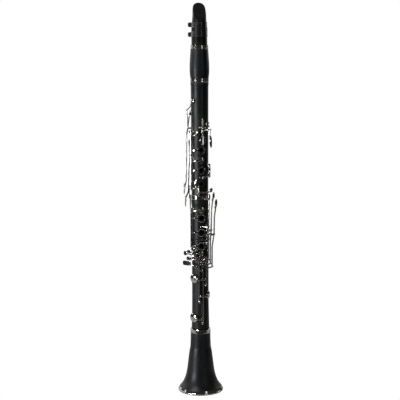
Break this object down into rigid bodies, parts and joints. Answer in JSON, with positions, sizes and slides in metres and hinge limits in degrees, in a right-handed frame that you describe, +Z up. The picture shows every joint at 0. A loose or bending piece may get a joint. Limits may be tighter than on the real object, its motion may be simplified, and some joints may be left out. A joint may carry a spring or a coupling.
{
  "type": "clarinet",
  "caption": "Slim black woodwind tube with a flared bell, a single-reed mouthpiece and sprung nickel keywork on hinge rods.",
  "frame": {"origin": "centre of the bell's rim, on the plane that the upright instrument stands on", "axes": "+Z up the bore from the bell to the mouthpiece, -Y out of the finger holes, +X to the left of the player"},
  "size_m": [0.078, 0.078, 0.666],
  "materials": {
    "body_black": "satin black moulded resin with a fine brushed grain",
    "mouthpiece_black": "smooth black hard rubber",
    "cane": "dry cane with fine lengthwise fibres",
    "ligature_black": "black lacquered brass",
    "cork": "natural cork sheet, greased",
    "blued_steel": "blued needle wire",
    "pad_skin": "felt covered with fine skin",
    "rings_nickel": "polished nickel plate",
    "hinge_steel": "ground steel rod with slotted heads",
    "posts_nickel": "polished nickel plate",
    "keys_nickel": "polished nickel plate"
  },
  "bodies": {
    "bell": {"bell": "body_black", "bell_rings": "rings_nickel"},
    "lower_joint": {"lower_joint": "body_black", "lower_joint_ring": "rings_nickel", "lower_joint_cork": "cork", "lower_posts": "posts_nickel", "lower_hinge_rods": "hinge_steel", "lower_springs": "blued_steel", "thumb_rest": "posts_nickel"},
    "upper_joint": {"upper_joint": "body_black", "upper_joint_corks": "cork", "upper_posts": "posts_nickel", "upper_hinge_rods": "hinge_steel", "upper_springs": "blued_steel"},
    "barrel": {"barrel": "body_black", "barrel_rings": "rings_nickel"},
    "mouthpiece": {"mouthpiece": "mouthpiece_black", "mouthpiece_cork": "cork", "reed": "cane", "ligature": "ligature_black"},
    "ligature_screw_upper": {"ligature_screw_upper": "ligature_black"},
    "ligature_screw_lower": {"ligature_screw_lower": "ligature_black"},
    "register_key": {"register_key": "keys_nickel", "register_key_pad": "pad_skin"},
    "thumb_ring_key": {"thumb_ring_key": "keys_nickel"},
    "throat_a_key": {"throat_a_key": "keys_nickel", "throat_a_key_pad": "pad_skin"},
    "throat_g_sharp_key": {"throat_g_sharp_key": "keys_nickel", "throat_g_sharp_key_pad": "pad_skin"},
    "index_ring_key": {"index_ring_key": "keys_nickel", "index_ring_key_pad": "pad_skin"},
    "bridge_ring_key": {"bridge_ring_key": "keys_nickel", "bridge_ring_key_pad": "pad_skin"},
    "side_key_1": {"side_key_1": "keys_nickel", "side_key_1_pad": "pad_skin"},
    "side_key_2": {"side_key_2": "keys_nickel", "side_key_2_pad": "pad_skin"},
    "side_key_3": {"side_key_3": "keys_nickel", "side_key_3_pad": "pad_skin"},
    "side_key_4": {"side_key_4": "keys_nickel", "side_key_4_pad": "pad_skin"},
    "c_sharp_g_sharp_key": {"c_sharp_g_sharp_key": "keys_nickel", "c_sharp_g_sharp_key_pad": "pad_skin"},
    "e_flat_b_flat_key": {"e_flat_b_flat_key": "keys_nickel", "e_flat_b_flat_key_pad": "pad_skin"},
    "lower_ring_key": {"lower_ring_key": "keys_nickel", "lower_ring_key_pad": "pad_skin"},
    "b_f_sharp_key": {"b_f_sharp_key": "keys_nickel", "b_f_sharp_key_pad": "pad_skin"},
    "a_flat_e_flat_key": {"a_flat_e_flat_key": "keys_nickel", "a_flat_e_flat_key_pad": "pad_skin"},
    "f_sharp_c_sharp_key": {"f_sharp_c_sharp_key": "keys_nickel", "f_sharp_c_sharp_key_pad": "pad_skin"},
    "f_c_key": {"f_c_key": "keys_nickel", "f_c_key_pad": "pad_skin"},
    "e_b_key": {"e_b_key": "keys_nickel", "e_b_key_pad": "pad_skin"},
    "left_e_b_lever": {"left_e_b_lever": "keys_nickel"},
    "left_f_sharp_lever": {"left_f_sharp_lever": "keys_nickel"},
    "left_f_c_lever": {"left_f_c_lever": "keys_nickel"}
  },
  "joints": [
    {"name": "lower_joint_tenon", "type": "slide", "parent": "bell", "child": "lower_joint", "axis": [0, 0, 1], "range_m": [0, 0.016]},
    {"name": "upper_joint_tenon", "type": "slide", "parent": "lower_joint", "child": "upper_joint", "axis": [0, 0, 1], "range_m": [0, 0.016]},
    {"name": "barrel_tenon", "type": "slide", "parent": "upper_joint", "child": "barrel", "axis": [0, 0, 1], "range_m": [0, 0.016]},
    {"name": "mouthpiece_tenon", "type": "slide", "parent": "barrel", "child": "mouthpiece", "axis": [0, 0, 1], "range_m": [0, 0.016]},
    {"name": "ligature_screw_lower_turn", "type": "hinge", "parent": "mouthpiece", "child": "ligature_screw_lower", "pos_m": [0, 0.0156, 0.6132], "axis": [1, 0, 0], "continuous": true},
    {"name": "ligature_screw_upper_turn", "type": "hinge", "parent": "mouthpiece", "child": "ligature_screw_upper", "pos_m": [0, 0.0156, 0.6295], "axis": [1, 0, 0], "continuous": true},
    {"name": "register_key_hinge", "type": "hinge", "parent": "upper_joint", "child": "register_key", "pos_m": [0, 0.019, 0.463], "axis": [-1, 0, 0], "range_deg": [0, 5], "stiffness_Nm_per_rad": 0.02, "springref_deg": -34.38},
    {"name": "thumb_ring_key_hinge", "type": "hinge", "parent": "upper_joint", "child": "thumb_ring_key", "pos_m": [-0.01625, 0.00864, 0.4355], "axis": [0, 0, -1], "range_deg": [0, 5], "stiffness_Nm_per_rad": 0.02, "springref_deg": -34.38},
    {"name": "throat_a_key_hinge", "type": "hinge", "parent": "upper_joint", "child": "throat_a_key", "pos_m": [0.0013, -0.01855, 0.459], "axis": [0.9976, 0.0698, 0], "range_deg": [0, 6], "stiffness_Nm_per_rad": 0.02, "springref_deg": -34.38},
    {"name": "throat_g_sharp_key_hinge", "type": "hinge", "parent": "upper_joint", "child": "throat_g_sharp_key", "pos_m": [0.01382, -0.01245, 0.4545], "axis": [0.6691, 0.7431, 0], "range_deg": [0, 6], "stiffness_Nm_per_rad": 0.02, "springref_deg": -34.38},
    {"name": "index_ring_key_hinge", "type": "hinge", "parent": "upper_joint", "child": "index_ring_key", "pos_m": [-0.01654, -0.00807, 0.43175], "axis": [0, 0, 1], "range_deg": [0, 5], "stiffness_Nm_per_rad": 0.02, "springref_deg": -34.38},
    {"name": "bridge_ring_key_hinge", "type": "hinge", "parent": "upper_joint", "child": "bridge_ring_key", "pos_m": [-0.01654, -0.00807, 0.38025], "axis": [0, 0, 1], "range_deg": [0, 5], "stiffness_Nm_per_rad": 0.02, "springref_deg": -34.38},
    {"name": "side_key_1_hinge", "type": "hinge", "parent": "upper_joint", "child": "side_key_1", "pos_m": [-0.01973, -0.00024, 0.457], "axis": [-0.1045, -0.9945, 0], "range_deg": [0, 1.12], "stiffness_Nm_per_rad": 0.02, "springref_deg": -34.38},
    {"name": "side_key_2_hinge", "type": "hinge", "parent": "upper_joint", "child": "side_key_2", "pos_m": [-0.01973, -0.00024, 0.457], "axis": [-0.1045, -0.9945, 0], "range_deg": [0, 1.76], "stiffness_Nm_per_rad": 0.02, "springref_deg": -34.38},
    {"name": "side_key_3_hinge", "type": "hinge", "parent": "upper_joint", "child": "side_key_3", "pos_m": [-0.01768, -0.00076, 0.412], "axis": [-0.1045, -0.9945, 0], "range_deg": [0, 1.83], "stiffness_Nm_per_rad": 0.02, "springref_deg": -34.38},
    {"name": "side_key_4_hinge", "type": "hinge", "parent": "upper_joint", "child": "side_key_4", "pos_m": [-0.01697, 0.00601, 0.378], "axis": [-0.1045, -0.9945, 0], "range_deg": [0, 2.58], "stiffness_Nm_per_rad": 0.02, "springref_deg": -34.38},
    {"name": "c_sharp_g_sharp_key_hinge", "type": "hinge", "parent": "upper_joint", "child": "c_sharp_g_sharp_key", "pos_m": [-0.00523, -0.01712, 0.352], "axis": [0, 0, 1], "range_deg": [0, 7], "stiffness_Nm_per_rad": 0.02, "springref_deg": -34.38},
    {"name": "e_flat_b_flat_key_hinge", "type": "hinge", "parent": "upper_joint", "child": "e_flat_b_flat_key", "pos_m": [0.0145, -0.01133, 0.3855], "axis": [0, 0, -1], "range_deg": [0, 7], "stiffness_Nm_per_rad": 0.02, "springref_deg": -34.38},
    {"name": "lower_ring_key_hinge", "type": "hinge", "parent": "lower_joint", "child": "lower_ring_key", "pos_m": [-0.01654, -0.00807, 0.2859], "axis": [0, 0, 1], "range_deg": [0, 5], "stiffness_Nm_per_rad": 0.02, "springref_deg": -34.38},
    {"name": "b_f_sharp_key_hinge", "type": "hinge", "parent": "lower_joint", "child": "b_f_sharp_key", "pos_m": [0.009, -0.01559, 0.268], "axis": [0, 0, -1], "range_deg": [0, 7], "stiffness_Nm_per_rad": 0.02, "springref_deg": -34.38},
    {"name": "a_flat_e_flat_key_hinge", "type": "hinge", "parent": "lower_joint", "child": "a_flat_e_flat_key", "pos_m": [-0.01018, -0.01509, 0.24325], "axis": [0, 0, -1], "range_deg": [0, 7], "stiffness_Nm_per_rad": 0.02, "springref_deg": -34.38},
    {"name": "f_sharp_c_sharp_key_hinge", "type": "hinge", "parent": "lower_joint", "child": "f_sharp_c_sharp_key", "pos_m": [-0.00426, -0.01708, 0.1987], "axis": [0, 0, -1], "range_deg": [0, 6], "stiffness_Nm_per_rad": 0.02, "springref_deg": -34.38},
    {"name": "f_c_key_hinge", "type": "hinge", "parent": "lower_joint", "child": "f_c_key", "pos_m": [0.00628, -0.01772, 0.213], "axis": [0, 0, -1], "range_deg": [0, 8], "stiffness_Nm_per_rad": 0.02, "springref_deg": -34.38},
    {"name": "e_b_key_hinge", "type": "hinge", "parent": "lower_joint", "child": "e_b_key", "pos_m": [0.00077, -0.01758, 0.1795], "axis": [0, 0, -1], "range_deg": [0, 8], "stiffness_Nm_per_rad": 0.02, "springref_deg": -34.38},
    {"name": "left_e_b_lever_hinge", "type": "hinge", "parent": "lower_joint", "child": "left_e_b_lever", "pos_m": [0.01017, -0.01765, 0.29], "axis": [-0.5878, -0.809, 0], "range_deg": [0, 1.5], "stiffness_Nm_per_rad": 0.004, "springref_deg": -34.38},
    {"name": "left_f_sharp_lever_hinge", "type": "hinge", "parent": "lower_joint", "child": "left_f_sharp_lever", "pos_m": [0.01559, -0.01256, 0.283], "axis": [-0.5878, -0.809, 0], "range_deg": [0, 1.7], "stiffness_Nm_per_rad": 0.004, "springref_deg": -34.38},
    {"name": "left_f_c_lever_hinge", "type": "hinge", "parent": "lower_joint", "child": "left_f_c_lever", "pos_m": [0.0215, -0.00783, 0.275], "axis": [-0.5878, -0.809, 0], "range_deg": [0, 2.58], "stiffness_Nm_per_rad": 0.004, "springref_deg": -34.38}
  ],
  "couplings": [
    {"joint": "bridge_ring_key_hinge", "follows": "lower_ring_key_hinge", "ratio": 1},
    {"joint": "thumb_ring_key_hinge", "follows": "index_ring_key_hinge", "ratio": 1},
    {"joint": "left_e_b_lever_hinge", "follows": "e_b_key_hinge", "ratio": 0.1875},
    {"joint": "left_f_sharp_lever_hinge", "follows": "f_sharp_c_sharp_key_hinge", "ratio": 0.2833},
    {"joint": "left_f_c_lever_hinge", "follows": "f_c_key_hinge", "ratio": 0.3225}
  ]
}
